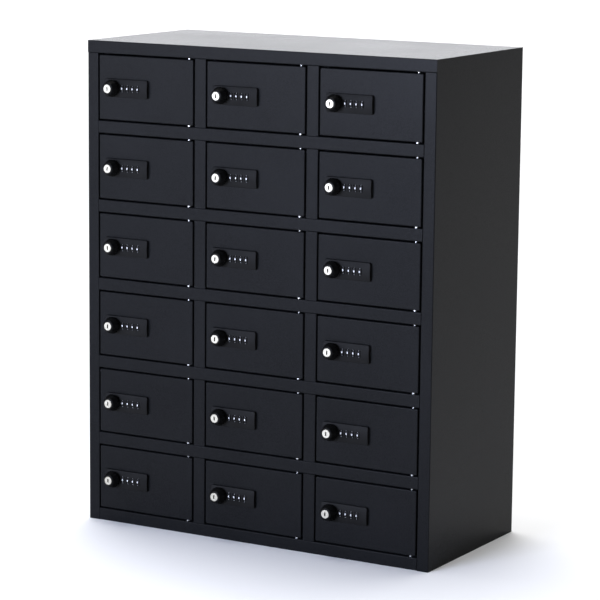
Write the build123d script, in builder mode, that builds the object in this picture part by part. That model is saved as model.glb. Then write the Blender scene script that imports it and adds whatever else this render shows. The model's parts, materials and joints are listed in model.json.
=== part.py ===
"""Steel locker box for cell phones: small doors in a grid, each with a dial lock.

Frame: X to the right, Y into the cabinet, Z up. The origin is the centre of the base.
All sizes are in millimetres.

A folded shell (both sides and the back in one sheet) carries the top, the bottom and a
shelf under each row. A shelf's front edge is folded down as the rail between two rows,
and short mullions with a divider sheet behind them part the columns. Each door is a
folded pan that turns on two pins near its right edge. Its lock has a long housing on
the front, four number dials on one axle, and a round knob that turns a cam behind it.
"""

import os

from build123d import *

# ----------------------------------------------------------------- cabinet
cabinet_width = 600.0
cabinet_depth = 280.0  # front face to back face, without the knobs
cabinet_height = 750.0
columns = 3
rows = 6
edge_face = 19.0  # visible width of the stiles, the top rail and the bottom rail
mullion_face = 20.0  # visible width of each upright between two columns
rail_face = 19.0  # visible height of each rail between two rows
sheet = 1.0  # steel sheet of the cabinet
bend_radius = 1.5  # outside of each fold
seam = 0.2  # gap left where two folded sheets butt
jamb_depth = 22.0  # how far the hinge jambs and the rails fold back
latch_jamb_depth = 15.3  # how far the latch jambs fold back, to the stop strips
stop_reach = 8.0  # how far a stop strip stands into the opening
stop_root = 5.0  # how far it runs behind the jamb
stop_sheet = 1.0
stop_relief = 1.5  # stop strip to the rails above and below
weld_flange = 12.0  # folds along the two ends of each shelf
wall_hole_radius = 4.5
wall_hole_inset = 75.0  # wall holes to the top and to the base

# -------------------------------------------------------------------- doors
door_sheet = 1.0
door_depth = 15.0  # depth of the folded pan, just short of the stop strips
latch_gap = 2.0  # door to jamb on the lock side
hinge_gap = 2.6  # door to jamb on the hinge side
rail_gap = 2.2  # door to the rails above and below
pin_radius = 2.0
pin_inset = 10.0  # pin axis to the door's hinge edge
pin_setback = 6.0  # pin axis behind the door's face
pin_reach = 4.0  # how far a pin enters the door
pin_fit = 0.05  # round a pin where it is fixed in the cabinet
pin_play = 0.08  # round a pin where the door turns on it
pin_head_radius = 3.8
pin_head_height = 1.5
collar_radius = 3.0  # the collar on each lower pin carries the door
collar_play = 0.2

# --------------------------------------------------------------------- lock
lock_inset = 28.9  # knob axis to the door's latch edge
plate_margin = 0.9  # knob's rim to the long edges of the plate
plate_start_margin = 3.1  # knob's rim to the near end
plate_end_margin = 5.3  # fixing screw's axis to the far end
plate_edge = 3.9  # thickness of the plate at its long edges
plate_crown = 5.6  # and along its middle
plate_corner = 3.0
plate_rim = 0.8
boss_wall = 4.5  # round the spindle
case_wall = 2.0
cover_sheet = 1.4
cutout_play = 0.3  # round whatever passes through the door
thread_play = 0.05
ring_nut_wall = 1.5
ring_nut_gap = 0.3  # to the dial case
ring_nut_height = 4.0
ring_nut_chamfer = 0.5

dial_count = 4
dial_rib = 3.1  # wall between two dials' pockets
dial_radius = 10.0
dial_width = 4.2
dial_gap = 1.0  # from a dial's side to the side of its pocket
dial_hub_radius = 4.0
dial_hub_play = 0.15  # from a dial's hub to the side of its pocket
dial_proud = 0.8  # how far a dial stands out of the plate
dial_play = 0.25  # round a dial in its pocket
dial_digits = 10
dial_notch = 0.6  # radius of the finger notch between two digits
axle_radius = 1.5
axle_fit = 0.05
axle_play = 0.08  # round the axle in each dial
axle_wall = 1.6  # how far the axle runs into the housing at its blind end

knob_gap = 1.2  # knob's rim to the side of the first dial
knob_flare = 2.0  # from the knob's foot out to its rim
knob_flare_height = 4.0
knob_rim_width = 1.0
knob_front_wall = 2.5  # round the key plug
knob_front = 21.5  # knob's front ahead of the door's face
knob_clearance = 0.4  # knob to plate
knob_front_fillet = 2.0
flute_count = 18
flute_radius = 1.2
flute_depth = 1.1
plug_radius = 6.5
plug_proud = 0.6
plug_length = 11.0
plug_play = 0.08
plug_chamfer = 0.4
keyway_width = 2.2
keyway_height = 5.8
keyway_depth = 7.0
spindle_radius = 5.0
spindle_play = 0.08
cam_square = 6.8
cam_fit = 0.05
cam_thickness = 2.0
cam_radius = 7.5  # round the spindle
cam_tongue = 10.0  # width of the tongue
cam_length = 27.0  # spindle axis to the tip
cam_clearance = 0.6  # cam to the back of the stop strip
cam_play = 0.5  # cam to the end of the lock's boss
cam_nut_across = 11.0
cam_nut_height = 3.0
spindle_tip = 1.2  # spindle beyond the cam nut
tip_radius = 3.0

screw_radius = 2.0
screw_head_radius = 3.5
screw_head_height = 2.0
screw_reach = 4.0
screw_gap = 2.9  # fixing screw's head to the dial case
cover_screw_radius = 0.9
cover_screw_head_radius = 1.7
cover_screw_head_height = 0.8
cover_screw_reach = 5.0
cover_screw_rise = 6.5  # screws above and below the dial axis

# ------------------------------------------------------------------ derived
left, right = -cabinet_width / 2, cabinet_width / 2
front, back = -cabinet_depth / 2, cabinet_depth / 2
opening_width = (cabinet_width - 2 * edge_face - (columns - 1) * mullion_face) / columns
opening_height = (cabinet_height - 2 * edge_face - (rows - 1) * rail_face) / rows
column_pitch = opening_width + mullion_face
row_pitch = opening_height + rail_face
head = cabinet_height - edge_face  # underside of the top rail
roof = cabinet_height - sheet  # underside of the top panel
behind = front + jamb_depth + seam  # where the folds of the front end
rear = back - bend_radius  # the inner pieces end clear of the shell's rear folds
stop_back = latch_jamb_depth + stop_sheet
hinge_x = opening_width - hinge_gap - pin_inset  # from the latch side of the opening
pin_y = front + pin_setback
pin_hole = pin_radius + pin_fit
openings_left = [left + edge_face + i * column_pitch for i in range(columns)]
openings_foot = [head - opening_height - i * row_pitch for i in range(rows)]
first_jamb = openings_left[0]
last_jamb = openings_left[-1] + opening_width
inner = (left + sheet, right - sheet)


def block(x, y, z, mode=Mode.ADD):
    """A box between two values along each axis, for use inside a BuildPart block."""
    with Locations((sum(x) / 2, sum(y) / 2, sum(z) / 2)):
        Box(x[1] - x[0], y[1] - y[0], z[1] - z[0], mode=mode)


def pillar(x, y, z, radius, mode=Mode.ADD):
    """A round along Z between two heights, for use inside a BuildPart block."""
    with Locations((x, y, sum(z) / 2)):
        Cylinder(radius, z[1] - z[0], mode=mode)


def pin_holes(level):
    """The holes for one row of hinge pins through the sheet above a level."""
    for latch_side in openings_left:
        wall = (level, level + sheet)
        pillar(latch_side + hinge_x, pin_y, wall, pin_hole, Mode.SUBTRACT)


def save(name, solids):
    """Writes one node, which is one solid or a group of separate solids."""
    node = solids[0] if len(solids) == 1 else Compound(solids)
    node.label = name
    export_step(node, f"parts/{name}.step")


os.makedirs("parts", exist_ok=True)

# -------------------------------------------------------------- outer shell
# The fold runs from the left jamb round the left stile, the left side, the back, the
# right side and the right stile to the right jamb.
with BuildPart() as outer_shell:
    with BuildSketch(Plane.XY):
        with BuildLine():
            FilletPolyline(
                (first_jamb, front + latch_jamb_depth),
                (first_jamb, front),
                (left, front),
                (left, back),
                (right, back),
                (right, front),
                (last_jamb, front),
                (last_jamb, front + jamb_depth),
                radius=bend_radius,
            )
            offset(amount=sheet, side=Side.RIGHT)
        make_face()
    extrude(amount=roof)
    # The top panel's flange takes the place of the stiles above the openings.
    block((left, right), (front, front + sheet), (head - seam, roof), Mode.SUBTRACT)
    block(inner, (front, behind), (head - seam, roof), Mode.SUBTRACT)
    # The bottom sheet lies under the jambs.
    block(inner, (front + sheet, behind), (0, sheet), Mode.SUBTRACT)
    # Four holes through the back for wall screws.
    with BuildSketch(Plane.XZ.offset(-back)):
        with Locations((0, cabinet_height / 2)):
            hole_rise = cabinet_height - 2 * wall_hole_inset
            with GridLocations((columns - 1) * column_pitch, hole_rise, 2, 2):
                Circle(wall_hole_radius)
    extrude(amount=sheet, mode=Mode.SUBTRACT)
save("outer_shell", [outer_shell.part])

# ---------------------------------------------------------- top and bottom
with BuildPart() as top_panel:
    with BuildSketch(Plane.YZ.offset(left)):
        with BuildLine():
            FilletPolyline(
                (back, cabinet_height),
                (front, cabinet_height),
                (front, head),
                (front + jamb_depth, head),
                radius=bend_radius,
            )
            offset(amount=sheet, side=Side.LEFT)
        make_face()
    extrude(amount=cabinet_width)
    # Room for the sides of the shell behind the flange.
    for end in ((left, left + sheet), (right - sheet, right)):
        block(end, (front + sheet, behind), (head, roof), Mode.SUBTRACT)
    pin_holes(head)
save("top_panel", [top_panel.part])

with BuildPart() as bottom_panel:
    with BuildSketch(Plane.YZ.offset(first_jamb + seam)):
        with BuildLine():
            FilletPolyline(
                (rear, 0),
                (front, 0),
                (front, edge_face),
                (front + jamb_depth, edge_face),
                radius=bend_radius,
            )
            offset(amount=sheet, side=Side.RIGHT)
        make_face()
    extrude(amount=last_jamb - first_jamb - 2 * seam)
    block(inner, (front + bend_radius, rear), (0, sheet))
    pin_holes(edge_face - sheet)
save("bottom_panel", [bottom_panel.part])

# ------------------------------------------------------------------ shelves
# A shelf's front edge folds down as a rail, and back again under it. The lowest floor
# is a tray on the bottom panel.
shelves = []
mouth = (first_jamb + seam, last_jamb - seam)
for floor in openings_foot[:-1]:
    with BuildPart() as shelf:
        with BuildSketch(Plane.YZ.offset(inner[0])):
            with BuildLine():
                FilletPolyline(
                    (rear, floor),
                    (front, floor),
                    (front, floor - rail_face),
                    (front + jamb_depth, floor - rail_face),
                    radius=bend_radius,
                )
                offset(amount=sheet, side=Side.LEFT)
            make_face()
        extrude(amount=inner[1] - inner[0])
        # In front the rail fits between the jambs.
        for wing in ((inner[0], mouth[0]), (mouth[1], inner[1])):
            block(wing, (front, behind), (floor - rail_face, floor), Mode.SUBTRACT)
        for fold in ((inner[0], inner[0] + sheet), (inner[1] - sheet, inner[1])):
            block(fold, (behind, rear), (floor - weld_flange, floor - sheet))
        pin_holes(floor - sheet)
        pin_holes(floor - rail_face)
    shelves.append(shelf.part)

with BuildPart() as floor_tray:
    block(inner, (behind, rear), (sheet, edge_face))
    hollow_x = (inner[0] + sheet, inner[1] - sheet)
    hollow_y = (behind + sheet, rear - sheet)
    block(hollow_x, hollow_y, (sheet, edge_face - sheet), Mode.SUBTRACT)
shelves.append(floor_tray.part)
save("shelves", shelves)

# ------------------------------------------------------ dividers and stops
# Each mullion is a channel as high as an opening: the hinge jamb of the column on its
# left, and the latch jamb of the column on its right. The divider behind it stands
# between two shelves. A stop strip across the edge of each latch jamb stops the door,
# and the cam turns behind it.
dividers = []
ceilings = [roof] + [foot - sheet for foot in openings_foot[:-1]]
for foot, ceiling in zip(openings_foot, ceilings):
    for latch_side in openings_left[1:]:
        hinge_side = latch_side - mullion_face
        span = (foot + seam, foot + opening_height - seam)
        with BuildPart() as mullion:
            with BuildSketch(Plane.XY.offset(span[0])):
                with BuildLine():
                    FilletPolyline(
                        (hinge_side, front + jamb_depth),
                        (hinge_side, front),
                        (latch_side, front),
                        (latch_side, front + latch_jamb_depth),
                        radius=bend_radius,
                    )
                    offset(amount=sheet, side=Side.LEFT)
                make_face()
            extrude(amount=span[1] - span[0])
        with BuildPart() as divider:
            middle = latch_side - mullion_face / 2
            web = (middle - sheet / 2, middle + sheet / 2)
            block(web, (front + sheet, behind), span)
            block(web, (behind, rear), (foot, ceiling))
        dividers += [mullion.part, divider.part]
    for latch_side in openings_left:
        with BuildPart() as stop_strip:
            strip_x = (latch_side - stop_root, latch_side + stop_reach)
            strip_y = (front + latch_jamb_depth, front + stop_back)
            strip_z = (foot + stop_relief, foot + opening_height - stop_relief)
            block(strip_x, strip_y, strip_z)
        dividers.append(stop_strip.part)
save("dividers_and_stops", dividers)

# --------------------------------------------------- pieces of one opening
# From here on the pieces are modelled from the lower left corner of an opening, with
# Y zero on the front face, and then copied to every opening.
door_left, door_right = latch_gap, opening_width - hinge_gap
door_foot, door_head = rail_gap, opening_height - rail_gap
knob_x = door_left + lock_inset
knob_z = opening_height / 2
dial_y = dial_radius - dial_proud - plate_crown  # dial axis behind the door's face


def barrel(y, radius, x=knob_x, z=knob_z, mode=Mode.ADD):
    """A round along Y between two depths, for use inside a BuildPart block."""
    with Locations((x, sum(y) / 2, z)):
        Cylinder(radius, y[1] - y[0], rotation=(90, 0, 0), mode=mode)


def rod(x, radius, mode=Mode.ADD):
    """A round along X on the dial axis, for use inside a BuildPart block."""
    with Locations((sum(x) / 2, dial_y, knob_z)):
        Cylinder(radius, x[1] - x[0], rotation=(0, 90, 0), mode=mode)


# --------------------------------------------------------------- hinge pins
with BuildPart() as upper_pin:
    pin_root = opening_height + sheet
    pillar(hinge_x, pin_setback, (door_head - pin_reach, pin_root), pin_radius)
    fillet(upper_pin.edges().group_by(Axis.Z)[0], pin_radius / 4)
    head_z = (pin_root, pin_root + pin_head_height)
    pillar(hinge_x, pin_setback, head_z, pin_head_radius)

with BuildPart() as lower_pin:
    pillar(hinge_x, pin_setback, (-sheet, door_foot + pin_reach), pin_radius)
    fillet(lower_pin.edges().group_by(Axis.Z)[-1], pin_radius / 4)
    pillar(hinge_x, pin_setback, (-sheet - pin_head_height, -sheet), pin_head_radius)
    pillar(hinge_x, pin_setback, (0, rail_gap - collar_play), collar_radius)

# ---------------------------------------------------------------- lock plan
# The dial case starts clear of the boss's nut, and the knob fills what the dials leave.
boss_radius = spindle_radius + boss_wall
pocket_half = dial_width / 2 + dial_gap
pocket_radius = dial_radius + dial_play
dial_pitch = 2 * pocket_half + dial_rib
case_start = knob_x + boss_radius + ring_nut_wall + ring_nut_gap
first_dial = case_start + case_wall + pocket_half
dial_places = [first_dial + i * dial_pitch for i in range(dial_count)]
case_x = (case_start, dial_places[-1] + pocket_half + case_wall)
case_z = (knob_z - pocket_radius - case_wall, knob_z + pocket_radius + case_wall)
case_back = dial_y + pocket_radius + case_wall / 2  # behind the door's face
cover_back = case_back + cover_sheet
axle_x = (first_dial - pocket_half - axle_wall, case_x[1])
knob_radius = first_dial - dial_width / 2 - knob_gap - knob_x
knob_front_radius = plug_radius + knob_front_wall
cam_front = stop_back + cam_clearance
cam_back = cam_front + cam_thickness
boss_end = cam_front - cam_play
screw_x = case_x[1] + screw_gap + screw_head_radius
plate_half = knob_radius + plate_margin
plate_x = (knob_x - knob_radius - plate_start_margin, screw_x + plate_end_margin)
rib_x = [x + dial_pitch / 2 for x in dial_places[:-1]]
cover_screw_places = [
    (rib_x[0], knob_z + cover_screw_rise),
    (rib_x[-1], knob_z - cover_screw_rise),
]

# ----------------------------------------------------------------- door pan
with BuildPart() as door_pan:
    block((door_left, door_right), (0, door_depth), (door_foot, door_head))
    pan_back = door_pan.faces().sort_by(Axis.Y)[-1]
    fillet(door_pan.edges() - pan_back.edges(), bend_radius)
    offset(amount=-door_sheet, openings=door_pan.faces().sort_by(Axis.Y)[-1])
    for level in (door_foot, door_head - door_sheet):
        wall = (level, level + door_sheet)
        pillar(hinge_x, pin_setback, wall, pin_radius + pin_play, Mode.SUBTRACT)
    skin = (0, door_sheet)
    barrel(skin, boss_radius + cutout_play, mode=Mode.SUBTRACT)
    barrel(skin, screw_radius + cutout_play, x=screw_x, mode=Mode.SUBTRACT)
    cutout_x = (case_x[0] - cutout_play, case_x[1] + cutout_play)
    cutout_z = (case_z[0] - cutout_play, case_z[1] + cutout_play)
    block(cutout_x, skin, cutout_z, Mode.SUBTRACT)

# ------------------------------------------------------------- lock housing
# The plate is slightly crowned from its lower edge to its upper edge.
plate_length = plate_x[1] - plate_x[0]

with BuildPart() as lock_housing:
    with BuildSketch(Plane.YZ.offset(plate_x[0])):
        with BuildLine():
            low = (-plate_edge, knob_z - plate_half)
            high = (-plate_edge, knob_z + plate_half)
            ThreePointArc(low, (-plate_crown, knob_z), high)
            Polyline(high, (0, high[1]), (0, low[1]), low)
        make_face()
    extrude(amount=plate_length)
    with BuildSketch(Plane.XZ):
        with Locations((sum(plate_x) / 2, knob_z)):
            RectangleRounded(plate_length, 2 * plate_half, plate_corner)
    extrude(amount=plate_crown, mode=Mode.INTERSECT)
    fillet(lock_housing.faces().sort_by(Axis.Y)[0].edges(), plate_rim)
    barrel((0, boss_end), boss_radius)
    block(case_x, (0, case_back), case_z)
    spindle_bore = spindle_radius + spindle_play
    barrel((-plate_crown, boss_end), spindle_bore, mode=Mode.SUBTRACT)
    # A pocket for each dial, open in front as its window and behind to put it in.
    pocket_z = (knob_z - pocket_radius, knob_z + pocket_radius)
    for x in dial_places:
        pocket_x = (x - pocket_half, x + pocket_half)
        rod(pocket_x, pocket_radius, mode=Mode.SUBTRACT)
        block(pocket_x, (dial_y, case_back), pocket_z, Mode.SUBTRACT)
    rod(axle_x, axle_radius + axle_fit, mode=Mode.SUBTRACT)
    screw_bore = screw_radius + thread_play
    barrel((-screw_reach, 0), screw_bore, x=screw_x, mode=Mode.SUBTRACT)
    cover_screw_bore = cover_screw_radius + thread_play
    cover_bore_y = (case_back - cover_screw_reach, case_back)
    for x, z in cover_screw_places:
        barrel(cover_bore_y, cover_screw_bore, x, z, Mode.SUBTRACT)

with BuildPart() as dial_axle:
    rod(axle_x, axle_radius)

with BuildPart() as rear_cover:
    block(case_x, (case_back, cover_back), case_z)
    fillet(rear_cover.edges().filter_by(Axis.Y), case_wall)
    for x, z in cover_screw_places:
        barrel((case_back, cover_back), cover_screw_bore, x, z, Mode.SUBTRACT)

cover_screws = []
for x, z in cover_screw_places:
    with BuildPart() as cover_screw:
        barrel((case_back - cover_screw_reach, cover_back), cover_screw_radius, x, z)
        head_y = (cover_back, cover_back + cover_screw_head_height)
        barrel(head_y, cover_screw_head_radius, x, z)
    cover_screws.append(cover_screw.part)

with BuildPart() as ring_nut:
    nut_y = (door_sheet, door_sheet + ring_nut_height)
    barrel(nut_y, boss_radius + ring_nut_wall)
    chamfer(ring_nut.edges().group_by(Axis.Y)[-1], ring_nut_chamfer)
    barrel(nut_y, boss_radius + thread_play, mode=Mode.SUBTRACT)

with BuildPart() as fixing_screw:
    barrel((-screw_reach, door_sheet), screw_radius, x=screw_x)
    head_y = (door_sheet, door_sheet + screw_head_height)
    barrel(head_y, screw_head_radius, x=screw_x)

# -------------------------------------------------------------------- dials
dials = []
for x in dial_places:
    with BuildPart() as dial:
        rod((x - dial_width / 2, x + dial_width / 2), dial_radius)
        with BuildSketch(Plane.YZ.offset(x - dial_width / 2)):
            with Locations((dial_y, knob_z)):
                half_step = 180 / dial_digits
                with PolarLocations(dial_radius, dial_digits, start_angle=half_step):
                    Circle(dial_notch)
        extrude(amount=dial_width, mode=Mode.SUBTRACT)
        hub_x = (x - pocket_half + dial_hub_play, x + pocket_half - dial_hub_play)
        rod(hub_x, dial_hub_radius)
        rod(hub_x, axle_radius + axle_play, Mode.SUBTRACT)
    dials.append(dial.part)

# --------------------------------------------------------- knob, plug and cam
knob_back = -(plate_crown + knob_clearance)
knob_rim_y = (knob_back - knob_flare_height - knob_rim_width, knob_back - knob_flare_height)
plug_front = -(knob_front + plug_proud)
plug_back = plug_front + plug_length

with BuildPart() as knob:
    with BuildSketch(Plane.XY.offset(knob_z)):
        with BuildLine():
            Polyline(
                (knob_x, knob_back),
                (knob_x + knob_radius - knob_flare, knob_back),
                (knob_x + knob_radius, knob_rim_y[1]),
                (knob_x + knob_radius, knob_rim_y[0]),
                (knob_x + knob_front_radius, -knob_front),
                (knob_x, -knob_front),
                close=True,
            )
        make_face()
    revolve(axis=Axis((knob_x, 0, knob_z), (0, 1, 0)))
    fillet(knob.faces().sort_by(Axis.Y)[0].edges(), knob_front_fillet)
    # Finger grooves across the rim, each as far in as its depth.
    with BuildSketch(Plane.XZ.offset(-knob_back)):
        with Locations((knob_x, knob_z)):
            with PolarLocations(knob_radius + flute_radius - flute_depth, flute_count):
                Circle(flute_radius)
    extrude(amount=knob_front + knob_back, mode=Mode.SUBTRACT)
    barrel((-knob_front, plug_back), plug_radius + plug_play, mode=Mode.SUBTRACT)
    barrel((plug_back, knob_back), spindle_radius, mode=Mode.SUBTRACT)

with BuildPart() as key_plug:
    barrel((plug_front, plug_back), plug_radius)
    chamfer(key_plug.edges().group_by(Axis.Y)[0], plug_chamfer)
    keyway_x = (knob_x - keyway_width / 2, knob_x + keyway_width / 2)
    keyway_z = (knob_z - keyway_height / 2, knob_z + keyway_height / 2)
    block(keyway_x, (plug_front, plug_front + keyway_depth), keyway_z, Mode.SUBTRACT)

# The spindle is round through the boss, square in the cam and round in the nut.
nut_back = cam_back + cam_nut_height
with BuildPart() as spindle:
    barrel((plug_back, cam_front), spindle_radius)
    half_square = cam_square / 2
    square_x = (knob_x - half_square, knob_x + half_square)
    square_z = (knob_z - half_square, knob_z + half_square)
    block(square_x, (cam_front, cam_back), square_z)
    barrel((cam_back, nut_back + spindle_tip), tip_radius)

# At rest the cam hangs down, clear of the stop strip.
with BuildPart() as cam:
    with BuildSketch(Plane.XZ.offset(-cam_back)):
        with Locations((knob_x, knob_z)):
            Circle(cam_radius)
        straight = cam_length - cam_tongue / 2
        with Locations((knob_x, knob_z - straight / 2)):
            Rectangle(cam_tongue, straight)
        with Locations((knob_x, knob_z - straight)):
            Circle(cam_tongue / 2)
        with Locations((knob_x, knob_z)):
            Rectangle(cam_square + 2 * cam_fit, cam_square + 2 * cam_fit, mode=Mode.SUBTRACT)
    extrude(amount=cam_thickness)

with BuildPart() as cam_nut:
    with BuildSketch(Plane.XZ.offset(-nut_back)):
        with Locations((knob_x, knob_z)):
            RegularPolygon(cam_nut_across / 2, 6, major_radius=False)
            Circle(tip_radius + thread_play, mode=Mode.SUBTRACT)
    extrude(amount=cam_nut_height)

# ----------------------------------------------------- copies for every door
pins = []
door_solids = [
    door_pan.part,
    lock_housing.part,
    dial_axle.part,
    rear_cover.part,
    *cover_screws,
    ring_nut.part,
    fixing_screw.part,
]
knob_solids = [knob.part, key_plug.part, spindle.part, cam.part, cam_nut.part]
number = 0
for foot in openings_foot:
    for latch_side in openings_left:
        number += 1
        corner = Location((latch_side, front, foot))
        pins += [upper_pin.part.moved(corner), lower_pin.part.moved(corner)]
        save(f"door_{number:02d}", [solid.moved(corner) for solid in door_solids])
        save(f"knob_{number:02d}", [solid.moved(corner) for solid in knob_solids])
        save(f"dials_{number:02d}", [solid.moved(corner) for solid in dials])
save("hinge_pins", pins)
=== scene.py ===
"""Looks of the phone locker box: powder coat, lock finishes, dial digits and a plain studio."""
import json
import math

import bmesh
import bpy
from mathutils import Matrix, Vector


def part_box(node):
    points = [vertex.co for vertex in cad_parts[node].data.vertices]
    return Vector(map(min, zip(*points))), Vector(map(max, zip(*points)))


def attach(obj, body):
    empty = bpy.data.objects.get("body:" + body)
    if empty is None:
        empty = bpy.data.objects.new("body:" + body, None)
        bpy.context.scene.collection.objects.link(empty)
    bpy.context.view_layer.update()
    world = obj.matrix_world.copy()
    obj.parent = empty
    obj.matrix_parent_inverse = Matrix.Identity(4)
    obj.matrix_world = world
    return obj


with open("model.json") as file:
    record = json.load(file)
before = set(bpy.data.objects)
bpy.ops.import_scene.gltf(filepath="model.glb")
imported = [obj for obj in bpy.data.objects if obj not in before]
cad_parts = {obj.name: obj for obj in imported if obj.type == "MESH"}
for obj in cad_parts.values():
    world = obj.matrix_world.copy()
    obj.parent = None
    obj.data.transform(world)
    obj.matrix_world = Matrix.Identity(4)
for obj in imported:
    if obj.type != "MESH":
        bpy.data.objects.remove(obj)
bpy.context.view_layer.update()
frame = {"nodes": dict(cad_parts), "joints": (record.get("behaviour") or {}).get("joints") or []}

MM = 0.001

# ---------------------------------------------------------------- the frame
NODES = frame["nodes"]
JOINTS = {joint["name"]: joint for joint in frame["joints"]}
DOORS = sorted(name[-2:] for name in NODES if name.startswith("door_"))
COLUMNS = 3
SHELL_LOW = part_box("outer_shell")[0]
FRONT = SHELL_LOW.y  # the plane of the closed doors
FLOOR = SHELL_LOW.z


def joint_place(name):
    """The point that a joint turns about, in the row frame."""
    return Vector(JOINTS[name]["pos_m"])


KNOB_FIRST = joint_place("knob_01_turn")
COLUMN_PITCH = joint_place("knob_02_turn").x - KNOB_FIRST.x
ROW_PITCH = KNOB_FIRST.z - joint_place(f"knob_{COLUMNS + 1:02d}_turn").z

# Sizes of the lock, measured from the knob's axis and the door's face.
DOOR_SHEET = 1.0 * MM
BOSS_RADIUS = 9.5 * MM
RING_NUT_RADIUS = 11.0 * MM
RING_NUT_BACK = 5.0 * MM
COVER_BACK = 16.25 * MM
FIXING_SCREW = 55.8 * MM
FIXING_SCREW_HEAD = 3.5 * MM
FIXING_SCREW_BACK = 3.0 * MM
COVER_SCREWS = ((21.05 * MM, 6.5 * MM), (39.65 * MM, -6.5 * MM))
COVER_SCREW_HEAD = 1.7 * MM
KNOB_BACK = 6.0 * MM
PLUG_RADIUS = 6.5 * MM
DIAL_COUNT = 4
DIAL_RADIUS = 10.0 * MM
DIAL_LENGTH = 5.9 * MM  # along its axis, with its hub
DIAL_DIGITS = 10

# Behind the door's sheet, what lies in this zone belongs to the lock.
LOCK_ZONE_X = (-RING_NUT_RADIUS - 1 * MM, FIXING_SCREW + 5 * MM)
LOCK_ZONE_HALF_HEIGHT = 14 * MM


# ------------------------------------------------------------- node helpers
NOISE_MIDDLE = (0.3, 0.7)  # where most values of a noise lie
BEVEL_RAYS = 4
EDGE_FACING = 0.8  # cosine between the eased and the true normal at a full edge


class Graph:
    """A material's node tree, with short calls for the nodes that the finishes share."""

    def __init__(self, name):
        self.material = bpy.data.materials.new(name)
        self.material.use_nodes = True
        self.tree = self.material.node_tree
        self.tree.nodes.clear()
        self.output = self.tree.nodes.new("ShaderNodeOutputMaterial")
        self.shader = self.tree.nodes.new("ShaderNodeBsdfPrincipled")
        self.tree.links.new(self.shader.outputs["BSDF"], self.output.inputs["Surface"])
        self.place = self.tree.nodes.new("ShaderNodeTexCoord").outputs["Object"]

    def put(self, socket, value):
        """Links another node's output to a socket, or sets the socket to a plain value."""
        if hasattr(value, "is_output"):
            self.tree.links.new(value, socket)
        else:
            socket.default_value = value

    def set(self, **values):
        """Sets sockets of the shader by name, with _ for a space."""
        for name, value in values.items():
            self.put(self.shader.inputs[name.replace("_", " ")], value)

    def math(self, operation, *values):
        node = self.tree.nodes.new("ShaderNodeMath")
        node.operation = operation
        for socket, value in zip(node.inputs, values):
            self.put(socket, value)
        return node.outputs[0]

    def below(self, value, limit):
        return self.math("LESS_THAN", value, limit)

    def above(self, value, limit):
        return self.math("GREATER_THAN", value, limit)

    def both(self, *masks):
        result = masks[0]
        for mask in masks[1:]:
            result = self.math("MULTIPLY", result, mask)
        return result

    def either(self, *masks):
        result = masks[0]
        for mask in masks[1:]:
            result = self.math("MAXIMUM", result, mask)
        return result

    def axes(self):
        """X, Y and Z of the point."""
        node = self.tree.nodes.new("ShaderNodeSeparateXYZ")
        self.put(node.inputs[0], self.place)
        return node.outputs

    def noise(self, size, detail=3.0, roughness=0.5):
        """Noise from 0 to 1 with features of about this size, in metres."""
        node = self.tree.nodes.new("ShaderNodeTexNoise")
        self.put(node.inputs["Vector"], self.place)
        node.inputs["Scale"].default_value = 1.0 / size
        node.inputs["Detail"].default_value = detail
        node.inputs["Roughness"].default_value = roughness
        return node.outputs["Fac"]

    def ramp(self, value, low, high, out_low=0.0, out_high=1.0):
        """The stretch from low to high, brought to the one from out_low to out_high."""
        node = self.tree.nodes.new("ShaderNodeMapRange")
        for socket, number in zip(node.inputs[1:5], (low, high, out_low, out_high)):
            socket.default_value = number
        self.put(node.inputs["Value"], value)
        return node.outputs["Result"]

    def spread(self, noise, out_low=0.0, out_high=1.0):
        """A noise's middle range, stretched to these limits."""
        return self.ramp(noise, *NOISE_MIDDLE, out_low, out_high)

    def mix(self, factor, first, second):
        """The first colour at a factor of 0, and the second at 1."""
        node = self.tree.nodes.new("ShaderNodeMix")
        node.data_type = "RGBA"
        self.put(node.inputs["Factor"], factor)
        self.put(node.inputs["A"], first)
        self.put(node.inputs["B"], second)
        return node.outputs["Result"]

    def blend(self, factor, first, second):
        """The same for plain numbers."""
        node = self.tree.nodes.new("ShaderNodeMix")
        node.data_type = "FLOAT"
        self.put(node.inputs["Factor"], factor)
        self.put(node.inputs["A"], first)
        self.put(node.inputs["B"], second)
        return node.outputs["Result"]

    def rounded(self, radius):
        """The surface's normal with its sharp edges eased."""
        node = self.tree.nodes.new("ShaderNodeBevel")
        node.samples = BEVEL_RAYS
        node.inputs["Radius"].default_value = radius
        return node.outputs["Normal"]

    def edges(self, eased):
        """0 on flat stretches, and towards 1 where the eased normal leaves the true one."""
        normal = self.tree.nodes.new("ShaderNodeNewGeometry").outputs["Normal"]
        node = self.tree.nodes.new("ShaderNodeVectorMath")
        node.operation = "DOT_PRODUCT"
        self.put(node.inputs[0], eased)
        self.put(node.inputs[1], normal)
        return self.ramp(node.outputs["Value"], 1.0, EDGE_FACING)

    def bump(self, height, distance, strength, normal):
        node = self.tree.nodes.new("ShaderNodeBump")
        node.inputs["Distance"].default_value = distance
        node.inputs["Strength"].default_value = strength
        self.put(node.inputs["Height"], height)
        self.put(node.inputs["Normal"], normal)
        return node.outputs["Normal"]


def grey(value, blue=0.0):
    """A neutral, or a slightly blue one: blue raises green a little and blue more."""
    return (value, value * (1 + 0.5 * blue), value * (1 + 1.6 * blue), 1.0)


# ----------------------------------------------------------------- finishes
# Sizes of noise are in metres. A roughness with two values varies between them. A bump
# has a distance and a strength, and a relief is a share of its distance.
EASED_EDGE = 0.25 * MM

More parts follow.
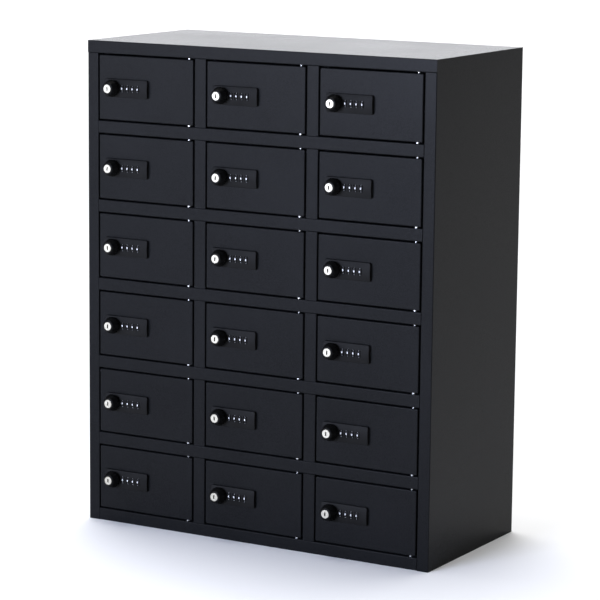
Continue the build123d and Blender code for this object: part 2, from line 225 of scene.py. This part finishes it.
COAT_DARK = grey(0.0032, 0.12)
COAT_LIGHT = grey(0.0044, 0.12)
COAT_SPECULAR = 0.048
COAT_CLOUD = 0.16
COAT_GRAIN = 0.0011
COAT_PEEL = 0.0034
COAT_ROUGHNESS = (0.265, 0.305)
COAT_GRAIN_ROUGHNESS = (-0.03, 0.03)
COAT_GRAIN_RELIEF = 0.35
COAT_BUMP = (0.05 * MM, 0.35)

# Painted highlight: a lighter grey put on the coat's sharp edges, in noise patches, and on the
# tips of its grain.
COAT_HIGHLIGHT = grey(0.024, 0.06)
EDGE_HIGHLIGHT_PATCH = 0.006
EDGE_HIGHLIGHT_PATCH_RANGE = (0.42, 0.72)
EDGE_HIGHLIGHT_SHARE = 0.8
GRAIN_TIP_HIGHLIGHT_RANGE = (0.35, 0.75)
GRAIN_TIP_HIGHLIGHT_SHARE = (0.0, 0.35)  # of the painted highlight grey

LOCK_DARK = grey(0.0056)
LOCK_LIGHT = grey(0.0080)
LOCK_CLOUD = 0.02
LOCK_GRAIN = 0.0009
LOCK_ROUGHNESS = (0.46, 0.54)
LOCK_RELIEF = 0.4
LOCK_SLACK = 0.05 * MM  # how far a mask's limit keeps from the surface it holds

KNOB_DARK = grey(0.0030)
KNOB_LIGHT = grey(0.0045)
KNOB_GRAIN = 0.0008
KNOB_STREAK = 0.003
KNOB_ROUGHNESS = (0.27, 0.36)
KNOB_RELIEF = 0.5
KNOB_SLACK = 0.04 * MM
FINE_BUMP = (0.02 * MM, 0.5)

NICKEL = (0.37, 0.352, 0.295, 1.0)
NICKEL_ROUGHNESS = (0.40, 0.50)
TURNING_PITCH = 0.35 * MM  # between two of the plug's turning marks
TURNING_RELIEF = 0.12

DIAL_DARK = grey(0.006)
DIAL_LIGHT = grey(0.010)
DIAL_SPECULAR = 0.1
DIAL_GRAIN = 0.0006
DIAL_ROUGHNESS = (0.30, 0.42)
DIAL_EASED_EDGE = 0.2 * MM

ZINC = (0.62, 0.63, 0.64, 1.0)
ZINC_DULL = (0.42, 0.43, 0.45, 1.0)
ZINC_BRIGHT = (0.74, 0.75, 0.76, 1.0)
ZINC_PATCH = 0.004
ZINC_ROUGHNESS = (0.28, 0.42)
WORKS_ROUGHNESS = 0.36
PIN_PATCH = 0.0012
PIN_ROUGHNESS = (0.2, 0.34)

PAINT = (0.86, 0.87, 0.88, 1.0)
PAINT_DULL = (0.70, 0.71, 0.72, 1.0)
PAINT_PATCH = 0.0007
PAINT_PATCH_RANGE = (0.3, 0.75)
PAINT_ROUGHNESS = (0.45, 0.6)


def coat_values(graph):
    """Colour, roughness, height and eased normal of fine-textured powder coat, with a painted
    highlight that lightens its sharp edges and the tips of its grain.
    """
    cloud = graph.noise(COAT_CLOUD, detail=4.0)
    grain = graph.noise(COAT_GRAIN, detail=2.0, roughness=0.6)
    peel = graph.noise(COAT_PEEL, detail=1.0)
    eased = graph.rounded(EASED_EDGE)
    edge = graph.edges(eased)
    # Painted highlight on sharp edges: the edge mask, broken into noise patches, lightens the coat
    # toward the highlight grey.
    edge_highlight = graph.both(edge, graph.ramp(graph.noise(EDGE_HIGHLIGHT_PATCH), *EDGE_HIGHLIGHT_PATCH_RANGE))
    colour = graph.mix(graph.spread(cloud), COAT_DARK, COAT_LIGHT)
    # Painted highlight: the grain's raised tips, which the bump also lifts, are lightened toward
    # the highlight grey.
    tip_highlight = graph.ramp(grain, *GRAIN_TIP_HIGHLIGHT_RANGE, *GRAIN_TIP_HIGHLIGHT_SHARE)
    colour = graph.mix(tip_highlight, colour, COAT_HIGHLIGHT)
    colour = graph.mix(graph.math("MULTIPLY", edge_highlight, EDGE_HIGHLIGHT_SHARE), colour, COAT_HIGHLIGHT)
    roughness = graph.spread(cloud, *COAT_ROUGHNESS)
    roughness = graph.math("ADD", roughness, graph.spread(grain, *COAT_GRAIN_ROUGHNESS))
    height = graph.math("ADD", graph.math("MULTIPLY", grain, COAT_GRAIN_RELIEF), peel)
    return colour, roughness, height, eased


def powder_coat():
    """The cabinet's sheets."""
    graph = Graph("powder_coat_fine_texture")
    # The coat's colour holds the painted highlight on its edges and grain tips.
    colour, roughness, height, eased = coat_values(graph)
    graph.set(Base_Color=colour, Roughness=roughness, Specular_IOR_Level=COAT_SPECULAR)
    graph.set(Normal=graph.bump(height, *COAT_BUMP, eased))
    return graph.material


def cell_axes(graph):
    """X and Z from the knob's axis of whichever door a point is on, and Y from its face.

    The doors repeat at a pitch, so one material serves them all."""
    x, y, z = graph.axes()
    left = COLUMN_PITCH / 4  # from a knob's axis to where its door's stretch starts
    down = ROW_PITCH / 2
    start_x = KNOB_FIRST.x - left
    start_z = KNOB_FIRST.z - down
    wrapped_x = graph.math("WRAP", graph.math("SUBTRACT", x, start_x), COLUMN_PITCH, 0.0)
    wrapped_z = graph.math("WRAP", graph.math("SUBTRACT", z, start_z), ROW_PITCH, 0.0)
    across = graph.math("SUBTRACT", wrapped_x, left)
    up = graph.math("SUBTRACT", wrapped_z, down)
    depth = graph.math("SUBTRACT", y, FRONT)
    return across, depth, up


def radius_about(graph, across, up, x=0.0, z=0.0):
    """Distance from a line along Y through x and z."""
    side = graph.math("SUBTRACT", across, x)
    rise = graph.math("SUBTRACT", up, z)
    squares = [graph.math("MULTIPLY", offset, offset) for offset in (side, rise)]
    return graph.math("SQRT", graph.math("ADD", *squares))


def door_finish():
    """Powder coat on the pan, satin black on the lock, zinc on its nut and screws."""
    graph = Graph("door_and_lock")
    # The coat's colour holds the painted highlight on its edges and grain tips.
    coat, coat_rough, height, eased = coat_values(graph)
    across, depth, up = cell_axes(graph)
    slack = LOCK_SLACK
    from_knob = radius_about(graph, across, up)
    housing = graph.below(depth, -slack)
    lock_zone = graph.both(
        graph.above(depth, DOOR_SHEET + slack),
        graph.above(across, LOCK_ZONE_X[0]),
        graph.below(across, LOCK_ZONE_X[1]),
        graph.below(graph.math("ABSOLUTE", up), LOCK_ZONE_HALF_HEIGHT),
    )
    nut = graph.both(
        graph.above(from_knob, BOSS_RADIUS + slack / 2),
        graph.below(from_knob, RING_NUT_RADIUS + slack),
        graph.below(depth, RING_NUT_BACK + slack),
    )
    heads = graph.both(
        graph.below(radius_about(graph, across, up, FIXING_SCREW), FIXING_SCREW_HEAD + slack),
        graph.below(depth, FIXING_SCREW_BACK + slack),
    )
    for x, z in COVER_SCREWS:
        head = graph.both(
            graph.below(radius_about(graph, across, up, x, z), COVER_SCREW_HEAD + slack),
            graph.above(depth, COVER_BACK - slack),
        )
        heads = graph.either(heads, head)
    metal = graph.both(lock_zone, graph.either(nut, heads))
    black = graph.either(housing, lock_zone)
    smooth = graph.noise(LOCK_GRAIN, detail=2.0)
    lock_colour = graph.mix(graph.spread(graph.noise(LOCK_CLOUD)), LOCK_DARK, LOCK_LIGHT)
    patch = graph.noise(ZINC_PATCH, detail=4.0)
    zinc_colour = graph.mix(graph.spread(patch), ZINC_DULL, ZINC)
    colour = graph.mix(metal, graph.mix(black, coat, lock_colour), zinc_colour)
    rough = graph.blend(black, coat_rough, graph.spread(smooth, *LOCK_ROUGHNESS))
    rough = graph.blend(metal, rough, graph.spread(smooth, *ZINC_ROUGHNESS))
    relief = graph.blend(black, height, graph.math("MULTIPLY", smooth, LOCK_RELIEF))
    graph.set(Base_Color=colour, Roughness=rough, Metallic=metal, Specular_IOR_Level=COAT_SPECULAR)
    graph.set(Normal=graph.bump(relief, *COAT_BUMP, eased))
    return graph.material


def knob_finish():
    """Satin black knob, turned nickel plug, and zinc on the spindle, the cam and its nut."""
    graph = Graph("knob_plug_and_cam")
    across, depth, up = cell_axes(graph)
    from_axis = radius_about(graph, across, up)
    slack = KNOB_SLACK
    plug = graph.both(
        graph.below(from_axis, PLUG_RADIUS + slack),
        graph.below(depth, -KNOB_BACK - slack),
    )
    works = graph.above(depth, -KNOB_BACK + slack)
    metal = graph.either(plug, works)
    eased = graph.rounded(EASED_EDGE)
    rings = graph.math("SINE", graph.math("MULTIPLY", from_axis, 2 * math.pi / TURNING_PITCH))
    grain = graph.noise(KNOB_GRAIN)
    streak = graph.noise(KNOB_STREAK, detail=4.0)
    black = graph.mix(graph.spread(streak), KNOB_DARK, KNOB_LIGHT)
    zinc = graph.mix(graph.spread(streak), ZINC_DULL, ZINC)
    colour = graph.mix(plug, graph.mix(works, black, zinc), NICKEL)
    rough = graph.blend(works, graph.spread(grain, *KNOB_ROUGHNESS), WORKS_ROUGHNESS)
    rough = graph.blend(plug, rough, graph.spread(grain, *NICKEL_ROUGHNESS))
    grain_relief = graph.math("MULTIPLY", grain, KNOB_RELIEF)
    ring_relief = graph.math("MULTIPLY", rings, TURNING_RELIEF)
    relief = graph.blend(plug, grain_relief, ring_relief)
    graph.set(Base_Color=colour, Roughness=rough, Metallic=metal, Specular_IOR_Level=COAT_SPECULAR)
    graph.set(Normal=graph.bump(relief, *FINE_BUMP, eased))
    return graph.material


def dial_finish():
    """Satin black moulded wheels with a fine mould texture."""
    graph = Graph("dial_black")
    grain = graph.noise(DIAL_GRAIN)
    eased = graph.rounded(DIAL_EASED_EDGE)
    colour = graph.mix(graph.spread(grain), DIAL_DARK, DIAL_LIGHT)
    graph.set(Base_Color=colour, Roughness=graph.spread(grain, *DIAL_ROUGHNESS))
    graph.set(Specular_IOR_Level=DIAL_SPECULAR, Normal=graph.bump(grain, *FINE_BUMP, eased))
    return graph.material


def digit_paint():
    """White filled digits, a little uneven."""
    graph = Graph("digit_white")
    patch = graph.noise(PAINT_PATCH)
    colour = graph.mix(graph.ramp(patch, *PAINT_PATCH_RANGE), PAINT, PAINT_DULL)
    graph.set(Base_Color=colour, Roughness=graph.spread(patch, *PAINT_ROUGHNESS))
    return graph.material


def pin_finish():
    """Bright zinc plate on the hinge pins."""
    graph = Graph("pin_zinc")
    patch = graph.noise(PIN_PATCH, detail=4.0)
    colour = graph.mix(graph.spread(patch), ZINC_DULL, ZINC_BRIGHT)
    graph.set(Base_Color=colour, Metallic=1.0, Roughness=graph.spread(patch, *PIN_ROUGHNESS))
    return graph.material


def dress_frame():
    """Gives each CAD node its finish. A lock's nodes end in its number, such as door_07."""
    coat, pin = powder_coat(), pin_finish()
    families = {"door": door_finish(), "knob": knob_finish(), "dials": dial_finish()}
    for name, node in NODES.items():
        finish = pin if name == "hinge_pins" else families.get(name[:-3], coat)
        for slot in node.material_slots:
            slot.material = finish


# ------------------------------------------------------------------- digits
DIGIT_HEIGHT = 2.9 * MM
DIGIT_WIDTH = 1.8 * MM
DIGIT_THICKNESS = 0.10 * MM
DIGIT_SINK = 0.05 * MM
DIGIT_BOLDNESS = 0.03  # in parts of the letter height
DIGIT_STRIP = 0.4 * MM  # about the height between two cuts, so that a digit can bend
NARROW_ONE = 0.45  # a 1, in parts of the other digits' width
LETTER_EXTRUDE = 0.01  # before the digit is brought to its real size
LETTER_STEPS = 6  # in each curved stretch of the outline


def flat_digit(character):
    """One digit as a thin flat mesh, centred, X across and Y up."""
    curve = bpy.data.curves.new("digit", "FONT")
    curve.body = character
    curve.extrude = LETTER_EXTRUDE
    curve.resolution_u = LETTER_STEPS
    curve.offset = DIGIT_BOLDNESS
    holder = bpy.data.objects.new("digit", curve)
    bpy.context.scene.collection.objects.link(holder)
    bpy.context.view_layer.update()
    mesh = bpy.data.meshes.new_from_object(holder)
    bpy.data.objects.remove(holder)
    bpy.data.curves.remove(curve)
    corners = [vertex.co for vertex in mesh.vertices]
    low = Vector(min(corner[i] for corner in corners) for i in range(3))
    high = Vector(max(corner[i] for corner in corners) for i in range(3))
    middle, size = (low + high) / 2, high - low
    width = DIGIT_WIDTH * (NARROW_ONE if character == "1" else 1.0)
    mesh.transform(Matrix.Translation(-middle))
    scale = (width / size.x, DIGIT_HEIGHT / size.y, DIGIT_THICKNESS / size.z, 1)
    mesh.transform(Matrix.Diagonal(scale))
    return mesh


def bent_digit(character, phase):
    """A digit bent round the dial's rim, as a bmesh about the dial's centre."""
    shape = bmesh.new()
    flat = flat_digit(character)
    shape.from_mesh(flat)
    bpy.data.meshes.remove(flat)
    cuts = int(DIGIT_HEIGHT / DIGIT_STRIP)
    for i in range(1, cuts):
        level = -DIGIT_HEIGHT / 2 + i * DIGIT_HEIGHT / cuts
        parts = shape.verts[:] + shape.edges[:] + shape.faces[:]
        bmesh.ops.bisect_plane(shape, geom=parts, plane_co=(0, level, 0), plane_no=(0, 1, 0))
    for vertex in shape.verts:
        across, rise, out = vertex.co
        angle = phase + rise / DIAL_RADIUS
        reach = DIAL_RADIUS - DIGIT_SINK + out + DIGIT_THICKNESS / 2
        vertex.co = (across, -reach * math.cos(angle), reach * math.sin(angle))
    return shape


def dial_lettering(paint):
    """The ring of digits of every dial, one piece for each lock."""
    ring = bmesh.new()
    for number in range(DIAL_DIGITS):
        digit = bent_digit(str(number), 2 * math.pi * number / DIAL_DIGITS)
        scratch = bpy.data.meshes.new("scratch")
        digit.to_mesh(scratch)
        digit.free()
        ring.from_mesh(scratch)
        bpy.data.meshes.remove(scratch)
    ring_mesh = bpy.data.meshes.new("digit_ring")
    ring.to_mesh(ring_mesh)
    ring.free()
    for door in DOORS:
        low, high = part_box(f"dials_{door}")
        axis = joint_place(f"dials_{door}_spin")
        pitch = (high.x - low.x - DIAL_LENGTH) / (DIAL_COUNT - 1)
        lettering = bmesh.new()
        for i in range(DIAL_COUNT):
            centre = (low.x + DIAL_LENGTH / 2 + i * pitch, axis.y, axis.z)
            first = len(lettering.verts)
            lettering.from_mesh(ring_mesh)
            lettering.verts.ensure_lookup_table()
            bmesh.ops.translate(lettering, vec=centre, verts=lettering.verts[first:])
        mesh = bpy.data.meshes.new(f"digits_{door}")
        lettering.to_mesh(mesh)
        lettering.free()
        mesh.materials.append(paint)
        piece = bpy.data.objects.new(f"digits_{door}", mesh)
        bpy.context.scene.collection.objects.link(piece)
        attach(piece, f"dials_{door}")
    bpy.data.meshes.remove(ring_mesh)


# ------------------------------------------------------------------- studio
# The camera was fitted to the cabinet's corners in the photo. Angles are in degrees.
CAMERA_PLACE = (2.0538, -3.5277, 1.0645)
CAMERA_YAW = 30.24
CAMERA_PITCH = -9.85
CAMERA_ROLL = 0.56
CAMERA_LENS = 161.5
SENSOR = 36.0
CAMERA_REACH = 100.0
OVERHEAD_PLACE = (-0.3, 0.5, 2.0)
OVERHEAD_STRENGTH = 3.5
OVERHEAD_SPREAD = 50
LAMP_TARGET = (0, 0, 0.5)
SOFTBOXES = (  # name, place, target, size, power in watts and colour
    ("light_front", (-0.9, -4.1, 1.1), LAMP_TARGET, (1.6, 1.1), 188, (0.90, 0.99, 1.30)),
    ("light_left", (-2.2, -3.4, 1.05), LAMP_TARGET, (2.0, 1.4), 45, (0.98, 1.01, 1.16)),
    ("light_behind", (-11.0, 13.0, 5.6), (0, 0, 0.7), (14.0, 7.0), 930, (0.98, 0.99, 1.03)),
)
WORLD_COLOUR = (0.90, 0.92, 0.95, 1)
WORLD_STRENGTH = 0.02
FLOOR_REACH = 30.0
FLOOR_CORNERS = ((-1, -1), (1, -1), (1, 1), (-1, 1))
FLOOR_DROP = 0.1 * MM  # below the cabinet's base
FLOOR_TONE = (0.86, 0.86, 0.865, 1)
FLOOR_TONE_LIGHT = (0.90, 0.90, 0.90, 1)
FLOOR_CLOUD = 0.9
FLOOR_ROUGHNESS = 0.9
FLOOR_SPECULAR = 0.1


def make_camera():
    """A plain camera without shift."""
    data = bpy.data.cameras.new("camera")
    data.lens = CAMERA_LENS
    data.sensor_width = SENSOR
    data.clip_end = CAMERA_REACH
    camera = bpy.data.objects.new("camera", data)
    bpy.context.scene.collection.objects.link(camera)
    turn = Matrix.Rotation(math.radians(CAMERA_YAW), 4, "Z")
    tilt = Matrix.Rotation(math.radians(90 + CAMERA_PITCH), 4, "X")
    roll = Matrix.Rotation(math.radians(CAMERA_ROLL), 4, "Z")
    camera.matrix_world = Matrix.Translation(CAMERA_PLACE) @ turn @ tilt @ roll
    bpy.context.scene.camera = camera


def place_lamp(name, kind, place, target):
    """A lamp of this kind at a place, turned towards its target. Gives the lamp's data."""
    data = bpy.data.lights.new(name, kind)
    lamp = bpy.data.objects.new(name, data)
    bpy.context.scene.collection.objects.link(lamp)
    aim = Vector(target) - Vector(place)
    lamp.rotation_mode = "QUATERNION"
    lamp.rotation_quaternion = aim.to_track_quat("-Z", "Y")
    lamp.location = place
    return data


def softbox(name, place, target, size, power, colour):
    """A rectangular area lamp."""
    data = place_lamp(name, "AREA", place, target)
    data.shape = "RECTANGLE"
    data.size, data.size_y = size
    data.energy = power
    data.color = colour


def make_floor():
    """A pale floor that isn't part of the object."""
    graph = Graph("floor_pale")
    tone = graph.noise(FLOOR_CLOUD, detail=2.0)
    colour = graph.mix(tone, FLOOR_TONE, FLOOR_TONE_LIGHT)
    graph.set(Base_Color=colour, Roughness=FLOOR_ROUGHNESS, Specular_IOR_Level=FLOOR_SPECULAR)
    mesh = bpy.data.meshes.new("floor")
    corners = [(x * FLOOR_REACH, y * FLOOR_REACH, 0) for x, y in FLOOR_CORNERS]
    mesh.from_pydata(corners, [], [(0, 1, 2, 3)])
    mesh.materials.append(graph.material)
    floor = bpy.data.objects.new("floor", mesh)
    floor.location.z = FLOOR - FLOOR_DROP
    bpy.context.scene.collection.objects.link(floor)


def make_studio():
    """The colour view, the world, the lamps and the floor."""
    scene = bpy.context.scene
    scene.view_settings.view_transform = "Standard"
    scene.world = bpy.data.worlds.new("studio")
    scene.world.use_nodes = True
    background = scene.world.node_tree.nodes["Background"]
    background.inputs["Color"].default_value = WORLD_COLOUR
    background.inputs["Strength"].default_value = WORLD_STRENGTH
    overhead = place_lamp("light_overhead", "SUN", OVERHEAD_PLACE, (0, 0, 0))
    overhead.energy = OVERHEAD_STRENGTH
    overhead.angle = math.radians(OVERHEAD_SPREAD)
    for settings in SOFTBOXES:
        softbox(*settings)
    make_floor()


make_camera()
make_studio()
dress_frame()
dial_lettering(digit_paint())
